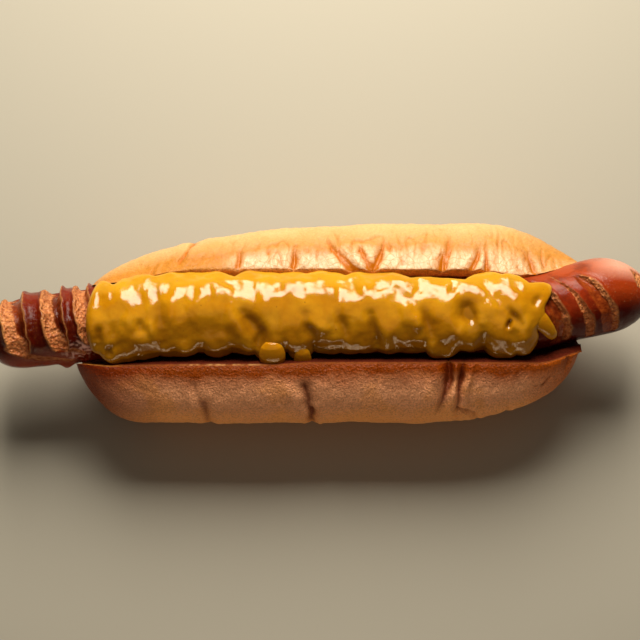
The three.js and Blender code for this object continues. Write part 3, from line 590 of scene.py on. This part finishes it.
# The pale coat on the pads is a painted highlight; the darker orange in the folds is painted shade.
colour = coated(skin, "#CC8426", [
    (found["patches"], 0.35, 0.65, 1.0, "#BE7218"), (found["wavy_down"], 0.65, 1.15, 1.0, "#DCAE72"),
    (found["wavy_down"], 1.5, 1.9, 1.0, "#B8742F"), (highlight_pads, 0.0, 1.0, 0.8, "#EEC69C"),
    (cracked, 0.0, 1.0, 0.5, "#C97A2C"), (found["along"], 0.058, 0.072, 0.7, "#C88028"),
    (found["fold"], 0.12, 0.7, 1.0, "#BE6808"),
])
glossy = add(skin, "ShaderNodeMapRange", {0: highlight_pads, 3: 0.46, 4: 0.22})
finish_with(skin, shader, {"Roughness": glossy}, {})
bake(skin, shader, found, colour, {"IOR": 1.5, "Specular IOR Level": 0.32})

# Bare crust, the front half: baked without egg, dull, with a fine gritty grain. It is browner than the back half,
# partly baked so and partly painted shade. Its colour holds painted light: painted shade, darkest near the rim and in
# its folds, a painted greyish sheen over its middle, and painted light below its widest line, where it is palest. It is
# also darkest at its left end. The grain is drawn at 0.6 mm, coarser than the real one, so that it shows.
skin, shader, found = baked("dull_brown_crust", 0.0006, 0.3, 0.0005)
painted_sheen = coated(skin, "#F1A676", [(found["patches"], 0.5, 0.62, 0.6, "#E4944E")])
# The dark base and the rim coat are painted shade, the paler middle a painted sheen, the pale orange below a painted
# light, and the dark folds painted shade.
colour = coated(skin, "#8E3C02", [
    (found["wavy_down"], 0.42, 0.76, 1.0, painted_sheen), (found["wavy_down"], 1.0, 1.25, 1.0, "#FFAC64"),
    (found["down"], 0.09, 0.02, 0.8, "#7E3404"), (found["along"], -0.052, -0.076, 0.9, "#7A2400"),
    (found["along"], 0.062, 0.078, 0.85, "#C8600E"), (found["fold"], 0.2, 1.3, 0.92, "#6A2200"),
])
bake(skin, shader, found, colour, {"Roughness": 0.34, "Specular IOR Level": 0.16})

# Crumb in the groove: soft, with pores of about 2 mm, pale only where it tore. Just below the cut it is toasted orange,
# brightened as painted light; deeper down, on the whole front wall and below the front rim it darkens, as painted
# shade.
skin, shader, found = baked("groove_crumb", 0.0012, 0.3, 0.0006)
below_front = add(skin, "ShaderNodeMapRange", {0: found["depth"], 1: 0.3, 2: 1.2})
below_front = add(skin, "ShaderNodeMath", {0: below_front, 1: found["front"]}, operation="MULTIPLY")
# The bright orange just below the cut is partly painted light; the darker colour deeper down, on the front wall and
# below the front rim is painted shade.
colour = coated(skin, "#C67A36", [
    (found["depth"], 0.1, 0.5, 1.0, "#E0944C"), (found["depth"], 2.5, 9.0, 1.0, "#B0521C"),
    (found["front"], 0.0, 1.0, 0.9, "#6A2C06"), (below_front, 0.0, 1.0, 1.0, "#541A08"),
    (found["tear"], 0.0, 1.0, 1.0, "#A87848"), (found["along"], -0.066, -0.074, 1.0, "#B8702C"),
])
bake(skin, shader, found, colour, {"Roughness": 0.85, "Specular IOR Level": 0.1})

# Each face takes its material from where it lies: 0 on the back crust, 1 on the front crust, 2 in the groove.
faces = bun.data.polygons
corners, starts, middles = np.zeros(len(bun.data.loops), int), np.zeros(len(faces), int), np.zeros(3 * len(faces))
bun.data.loops.foreach_get("vertex_index", corners)
faces.foreach_get("loop_start", starts)
faces.foreach_get("center", middles)
is_crumb = np.zeros(len(bun.data.vertices))
bun.data.attributes["crumb"].data.foreach_get("value", is_crumb)
share_of_crumb = np.add.reduceat(is_crumb[corners], starts)
material_index = np.where(share_of_crumb > 0.9, 2, np.where(middles[1::3] < 0, 1, 0))
faces.foreach_set("material_index", material_index.astype(np.int32))

# ---- Mustard ----
# Thick wet mustard, squeezed on in one heavy layer along the sausage. It sags in round lobes along both edges, runs in
# two drips to the front rim and in a tongue down the skin at its right end, and sinks where the cuts lie under it.
CROWN, BEAD = 3.1, 2.6  # its thickness on top, and the width of its rounded edge
BACK_REACH, FRONT_REACH = 60.0, 78.0  # degrees from the top at which both edges are first drawn
UNROLLED, UNROLLED_DRIP, UNROLLED_NOISE = 15, 14.5, 14  # mm from the sausage's middle where degrees are turned to mm
FRONT_LOBES = np.array([  # x, half-width, how far it stands off the sausage
    (-66.5, 6.8, 3.5), (-59.0, 5.0, 3.1), (-49.0, 6.5, 2.8), (-35.6, 4.4, 3.2), (-27.3, 5.0, 2.4), (-19.3, 4.4, 4.2),
    (-9.1, 3.8, 4.0), (0.4, 4.8, 2.1), (6.5, 3.6, 2.1), (12.6, 4.0, 1.6), (19.8, 4.6, 1.9), (26.6, 4.6, 2.0),
    (36.8, 5.2, 3.4), (46.4, 5.4, 1.3), (56.0, 5.4, 3.5), (64.0, 5.2, 3.0),
])
BACK_LOBES = np.array([  # x, half-width, how far down the back it reaches, in degrees from the top
    (-74.0, 4.5, 58), (-62.6, 7.0, 62), (-44.3, 11.5, 67), (-22.0, 7.0, 67), (-11.8, 4.6, 66), (-1.2, 7.0, 64),
    (14.4, 9.5, 63), (32.0, 13.0, 48), (51.0, 5.0, 61), (58.4, 4.0, 55), (66.0, 7.0, 36),
])
SWELLS = [  # x and degrees from the top towards the back where each starts and ends, half-width in mm, height
    (-55.8, 27, -54.2, 2, 2.0, -0.5), (-54.2, -6, -52.8, -26, 2.5, -1.0), (-60.4, -19, -60.0, -24, 1.8, -0.6),
    (-73.4, -22, -73.6, -30, 1.4, -0.7), (-70.6, -46, -70.4, -50, 1.1, -0.9), (-60.4, -35, -60.2, -37, 2.0, 0.7),
    (-64.4, -12, -63.0, -20, 1.8, 0.5), (-56.8, -20, -56.2, -34, 1.2, 0.6), (-51.0, -6, -50.2, -30, 2.2, 0.4),
    (-44.0, -28, -34.0, -30, 3.4, -0.7), (-39.0, 2, -33.0, -6, 3.0, 0.4), (-47.0, -50, -44.0, -62, 2.0, 0.5),
    (-27.2, -10, -22.2, -32, 2.4, -1.7), (-21.8, -32, -22.8, -50, 1.5, -1.2), (-27.4, -46, -24.0, -52, 2.2, 0.6),
    (-18.6, -54, -18.4, -62, 2.6, 1.0), (-13.6, -20, -12.8, -50, 2.4, 0.5), (-7.8, -12, -4.4, -48, 1.9, -1.2),
    (-9.4, -14, -1.0, -27, 1.6, 0.5), (3.2, -10, 5.6, -32, 1.7, -1.0), (0.6, -30, 1.4, -50, 2.0, 0.4),
    (9.4, -12, 9.8, -18, 2.2, 0.5), (13.4, -12, 15.4, -48, 1.7, -1.2), (18.4, -20, 19.4, -52, 1.8, 0.5),
    (24.4, -4, 25.2, -14, 2.0, 0.5), (28.4, -16, 28.8, -22, 1.6, 0.7), (30.0, -6, 32.2, -30, 2.0, -1.0),
    (33.2, -52, 33.8, -62, 2.2, 0.9), (38.6, -14, 42.8, -44, 1.8, 0.8), (44.2, -2, 44.4, -8, 3.0, -1.7),
    (44.8, -8, 46.8, -24, 1.6, -0.9), (49.6, -30, 50.4, -56, 2.4, -0.7), (52.4, -2, 56.4, -8, 1.4, 0.4),
    (57.2, -6, 61.4, -22, 1.3, -0.9), (57.8, -20, 57.4, -24, 0.8, -1.3), (55.6, -28, 57.2, -44, 1.5, 0.7),
    (62.4, -30, 62.8, -60, 2.4, 0.5), (66.0, 2, 66.6, 6, 1.4, -0.7), (20.2, 24, 24.0, 12, 1.6, -0.4),
    (-34.0, 30, -27.0, 22, 1.6, -0.35), (40.0, 28, 38.6, 14, 1.4, -0.6), (7.4, 32, 9.4, 14, 1.4, -0.4),
]
RIGHT_EDGE = [  # how far from the back edge to the front one, and x: the torn right end
    (0.0, 69.4), (0.1, 71.2), (0.19, 71.9), (0.3, 71.5), (0.38, 70.4), (0.44, 69.4), (0.5, 69.2), (0.57, 69.6),
    (0.62, 68.4), (0.66, 67.0), (0.72, 67.2), (0.79, 67.8), (0.88, 67.5), (0.95, 66.0), (1.0, 63.0),
]


def highest(values, width):
    """The largest of several arrays, with the corners between them rounded over a width: the width times the log of the
    sum of their powers."""
    top = np.max(values, axis=0)
    return top + width * np.log(np.sum(np.exp((values - top) / width), axis=0))


def front_bulge(x):
    """How far the front edge stands off the sausage: half an ellipse for each lobe, standing on a quarter of its
    height, joined smoothly."""
    lobes = [
        bulge * (0.25 + 0.75 * np.sqrt(np.maximum(0, 1 - ((x - middle) / (1.06 * half)) ** 2)))
        for middle, half, bulge in FRONT_LOBES
    ]
    return highest(np.array([0.6 + 0 * x, *lobes]), 0.1)


def back_reach(x):
    """How far down the back the mustard reaches, in degrees: a downward parabola for each lobe, joined smoothly, less
    the bell curve of one gap where the casing shows."""
    lobes = [reach * (1 - 0.16 * ((x - middle) / half) ** 2) for middle, half, reach in BACK_LOBES]
    return highest(np.array([34 + 0 * x, *lobes]), 0.5) - 3 - 7 * bell((x + 69) / 1.5)


def swells(x, angle):
    """The ridges and valleys of the layer: a bell curve of the distance to each line, on the unrolled surface. Long
    ones are strongest halfway along, by half a sine wave."""
    total = np.zeros(x.shape)
    arc = angle * np.pi / 180 * UNROLLED
    for x0, a0, x1, a1, half, height in SWELLS:
        b0, b1 = a0 * np.pi / 180 * UNROLLED, a1 * np.pi / 180 * UNROLLED
        length = np.hypot(x1 - x0, b1 - b0)
        along = np.clip(((x - x0) * (x1 - x0) + (arc - b0) * (b1 - b0)) / length**2, 0, 1)
        taper = 0.45 * np.clip(length / half - 1.5, 0, 1) * (1 - np.sin(np.pi * along))
        total += height * (1 - taper) * bell(np.hypot(x - mix(x0, x1, along), arc - mix(b0, b1, along)) / half)
    return np.where(total < 0, 1.2 * total, total)


def on_sausage(x, angle, distance):
    """A point at a distance from the sausage's middle, at an angle from the top towards the back."""
    middle_y, middle_z = axis(x)
    return np.stack([x, middle_y + distance * np.sin(angle), middle_z + distance * np.cos(angle)], axis=-1)


def running_mean(values, count):
    """Each value as the mean of an odd number of values round it, with the end values repeated past both ends."""
    return np.convolve(np.pad(values, count // 2, mode="edge"), np.ones(count) / count, mode="valid")


def drip(route, halves, height, base):
    """A closed half-round strand of mustard along a route of (x, degrees) over the sausage. Its half-widths are joined
    by straight lines, smoothed by a running mean, and pinched shut at both ends like an ellipse. Its section is the
    upper half of an ellipse over a flat underside, at the two distances from the sausage's middle that are given for
    its ends."""
    route = np.array(route, dtype=float)
    length = np.linspace(0, 1, len(route))
    fine = np.linspace(0, 1, 60)
    base = mix(*base, fine)[:, None]
    for _ in range(3):
        route = np.concatenate([route[:1], 0.5 * (route[:-1] + route[1:]), route[-1:]])
    place = np.stack([np.interp(fine, np.linspace(0, 1, len(route)), route[:, k]) for k in (0, 1)], axis=-1)
    arc = place * (1, np.pi / 180 * UNROLLED_DRIP)
    heading = np.gradient(arc, axis=0)
    heading /= np.linalg.norm(heading, axis=1)[:, None]
    width = running_mean(np.interp(fine, length, halves), 19)
    width *= np.sqrt(np.clip(1 - (2 * fine - 1) ** 2, 0, 1))
    across = -np.cos(np.linspace(0, np.pi, 25))
    aside = width[:, None] * across
    x = arc[:, :1] - heading[:, 1:] * aside
    angle = (arc[:, 1:] + heading[:, :1] * aside) / UNROLLED_DRIP
    dome = height * np.sqrt(np.clip(1 - across**2, 0, 1)) * (width / max(halves))[:, None] ** 0.7
    marks = {"thin_and_lit": np.broadcast_to(0.35 * (1 - np.sqrt(1 - across**2)), x.shape), "sunk": np.zeros(x.shape)}
    over, under = on_sausage(x, angle, base + dome), on_sausage(x, angle, base + 0 * dome)
    return [(over[:, ::-1], marks), (under, marks)]


u_steps = 0.25 * (0.5 - 0.5 * np.cos(np.pi * np.linspace(0, 1, 391))) + 0.75 * np.linspace(0, 1, 391)
v_steps = 0.6 * (0.5 - 0.5 * np.cos(np.pi * np.linspace(0, 1, 109))) + 0.4 * np.linspace(0, 1, 109)
u, v = np.meshgrid(u_steps, v_steps, indexing="ij")
left_edge = -75.2 - 2.8 * np.sin(np.pi * v) + 6.4 * ease((v - 0.82) / 0.2)
smooth_v = np.linspace(0, 1, 401)
edge_v, edge_x = np.array(RIGHT_EDGE).T
right_edge = np.interp(v, smooth_v, running_mean(np.interp(smooth_v, edge_v, edge_x), 25))
x = mix(left_edge, right_edge, u)
front_reach = 64 + 3 * front_bulge(x)
angle = mix(BACK_REACH, -FRONT_REACH, v)
angle += (back_reach(x) - BACK_REACH) * (1 - v) ** 4 + (FRONT_REACH - front_reach) * v**4
base = SAUSAGE["radius"] - 0.1 + 0.3 * ease((x - 65) / 3)
turn = np.radians(angle)
spot = np.stack([x, UNROLLED_NOISE * np.sin(turn), UNROLLED_NOISE * np.cos(turn)], axis=-1)
top = CROWN + 0.12 * np.sin(x * 0.55 + 0.06 * angle) + 0.15 * np.sin(x * 0.23 - 0.09 * angle)
top += 0.5 * noise(spot * (1.6, 1, 1), 7, 21) + 0.2 * noise(spot, 3.2, 22) + 0.06 * noise(spot, 1.4, 23)
top += 0.4 * noise(spot, 4.0, 25) * ease((-angle - 25) / 20)
top = top * mix(1, 0.32, ease((x - 62) / 8))
front = 1.6 + 0.75 * front_bulge(x) + 0.8 * (top - CROWN)
thinnest = mix(0.9, 0.45, ease((x - 64) / 6))
dip = swells(x, angle)
thick = np.maximum(thinnest, mix(top, front, np.clip((-angle - 25) / 41, 0, 1) ** 1.5) + dip)
arc_length = (back_reach(x) + front_reach) * SAUSAGE["radius"] * np.pi / 180
to_edge = np.minimum(np.minimum(u, 1 - u) * (right_edge - left_edge), np.minimum(v, 1 - v) * arc_length)
bead = np.sqrt(1 - (1 - np.clip(to_edge / BEAD, 0, 1)) ** 2)
wall_angle = np.radians(90 - angle) + np.where(angle > 0, 2 * np.pi, 0)
front_y, front_z, back_y, back_z = rims(x)
middle_y, middle_z = axis(x)
front_limit = np.pi - np.arctan2(front_z - middle_z, np.maximum(SAUSAGE["radius"] + CLEARANCE, middle_y - front_y))
back_limit = 2 * np.pi + np.arctan2(back_z - middle_z, np.maximum(SAUSAGE["radius"], back_y - middle_y))
in_groove = np.where(angle > 0, wall_angle <= back_limit, wall_angle >= front_limit) & (np.abs(angle) > 20)
room = np.where(in_groove, groove(x, angle=wall_angle)[0] - 0.05, 99) - base
thick = np.maximum(0.04, np.minimum(thick, room)) * bead
over = on_sausage(x, turn, base + thick)
beneath = on_sausage(x, turn, base)
# Marks for the colour: where it lies thin, and how far it faces the back, towards the key light, for painted light; and
# its hollows and how far down its front it lies, for painted shade.
marks = {
    "thin_and_lit": (1 - bead) * ease(angle / 20) + 0.5 * ease((angle - 10) / 25),
    "sunk": np.clip(-dip, 0, 1.5) + 0.75 * ease((-angle - 8) / 32),
}
layer = [(over, marks), (beneath[:, ::-1], {name: field[:, ::-1] for name, field in marks.items()})]
tongue = [(63.5, -4), (67.0, -18), (69.6, -32), (71.6, -46), (72.8, -58)]
layer += drip(tongue, [5.0, 3.8, 2.2, 1.9, 1.4], 2.1, (12.7, 13.0))
layer += drip([(-18.3, -42), (-18.2, -51), (-18.1, -60), (-18.2, -71)], [1.6, 3.8, 4.6, 3.4], 2.3, (15.6, 18.8))
layer += drip([(-8.6, -50), (-8.4, -61), (-8.3, -74)], [0.8, 2.8, 3.4], 1.6, (15.0, 18.4))
mustard = make_piece("mustard_layer", layer, "mustard", marks=tuple(marks))

# Wet mustard: ground seed in vinegar, a deep ochre with fine darker grain and a few brown husks. It is very glossy and
# a little translucent, and paler where it lies thin, at its back edge and the edges of its drips. It is also paler down
# its back, towards the key light, as painted light, and browner in its hollows and down its front, as painted shade.
# The grain is drawn at 0.9 mm, coarser than the real one, so that it shows.
sauce, shader, place, mark = new_material("wet_ground_mustard", marks)
clouds = add(sauce, "ShaderNodeTexNoise", {"Vector": place, "Scale": 1 / 0.009, "Detail": 3.0, "Roughness": 0.55})
seed = add(sauce, "ShaderNodeTexNoise", {"Vector": place, "Scale": 1 / 0.0009, "Detail": 4.0, "Roughness": 0.65})
husks = add(sauce, "ShaderNodeTexVoronoi", {"Vector": place, "Scale": 1 / 0.0035, "Randomness": 1.0})
# The pale coat is painted light down the back as well as thin edges; the brown coat is painted shade in the hollows and
# down the front.
colour = coated(sauce, "#B87606", [
    (clouds, 0.35, 0.65, 1.0, "#CA8A0E"), (seed, 0.42, 0.3, 0.3, "#A86A06"), (husks, 0.10, 0.04, 0.55, "#7A4204"),
    (mark["thin_and_lit"], 0.2, 1.0, 0.75, "#DCB03C"), (mark["sunk"], 0.2, 1.3, 0.6, "#7C4602"),
])
bump = add(sauce, "ShaderNodeBump", {"Strength": 0.9, "Distance": 0.00006, "Height": seed})
values = {
    "Roughness": 0.04, "IOR": 1.42,
    "Subsurface Weight": 0.12, "Subsurface Radius": (1.0, 0.5, 0.1), "Subsurface Scale": 0.0015,
}
finish_with(sauce, shader, {"Base Color": colour, "Normal": bump}, values)
mustard.data.materials.append(sauce)

# ---- Table, lights and camera ----
# A plain pale table under soft studio light: a softbox above and behind the bun, a low warm one in front, and a large
# weak one overhead that lights the gaps. The camera looks down from 10 degrees in front of straight above.
table_mesh = bpy.data.meshes.new("table")
table_mesh.from_pydata([(-2, -2, 0), (2, -2, 0), (2, 2, 0), (-2, 2, 0)], [], [(0, 1, 2, 3)])
table = bpy.data.objects.new("table", table_mesh)
bpy.context.scene.collection.objects.link(table)
matt_paint, shader, *_ = new_material("matt_pale_paint")
finish_with(matt_paint, shader, {}, {"Base Color": linear("#B2AA9A"), "Roughness": 0.85})
table_mesh.materials.append(matt_paint)


def aim(thing, place, target):
    """Sets a light or the camera at a place, looking at a target, with +Y of the world upwards in its view."""
    forward = np.subtract(target, place) / np.linalg.norm(np.subtract(target, place))
    right = np.cross(forward, (0, 1, 0))
    right /= np.linalg.norm(right)
    up = np.cross(right, forward)
    thing.matrix_world = [(*column, 0) for column in (right, up, -forward)] + [(*place, 1)]


def softbox(name, place, target, width, height, watts, colour):
    """A rectangular area light, aimed at a target."""
    data = bpy.data.lights.new(name, "AREA")
    data.shape, data.size, data.size_y, data.energy, data.color = "RECTANGLE", width, height, watts, colour
    lamp = bpy.data.objects.new(name, data)
    bpy.context.scene.collection.objects.link(lamp)
    aim(lamp, place, target)


softbox("key", (0.0, 0.36, 0.36), (0, 0.01, 0.03), 0.29, 0.29, 4.5, (1.0, 0.95, 0.83))
softbox("fill", (0.0, -0.6, 0.05), (0, 0, 0.03), 0.5, 0.06, 0.60, (1.0, 0.79, 0.52))
softbox("overhead", (0.0, -0.05, 0.8), (0, 0, 0), 0.8, 0.8, 0.42, (1.0, 0.90, 0.74))
world = bpy.data.worlds.new("room")
world.use_nodes = True
world.node_tree.nodes["Background"].inputs["Color"].default_value = (1.0, 0.92, 0.80, 1)
world.node_tree.nodes["Background"].inputs["Strength"].default_value = 0.04
bpy.context.scene.world = world
bpy.context.scene.view_settings.view_transform = "Standard"

CAMERA_DISTANCE, CAMERA_TILT = 0.502, np.radians(10)
lens = bpy.data.cameras.new("camera")
lens.lens, lens.sensor_width, lens.clip_start = 85, 36, 0.01
camera = bpy.data.objects.new("camera", lens)
bpy.context.scene.collection.objects.link(camera)
target = np.array([-0.0028, 0.00047, 0.025])
aim(camera, target + CAMERA_DISTANCE * np.array([0, -np.sin(CAMERA_TILT), np.cos(CAMERA_TILT)]), target)
bpy.context.scene.camera = camera
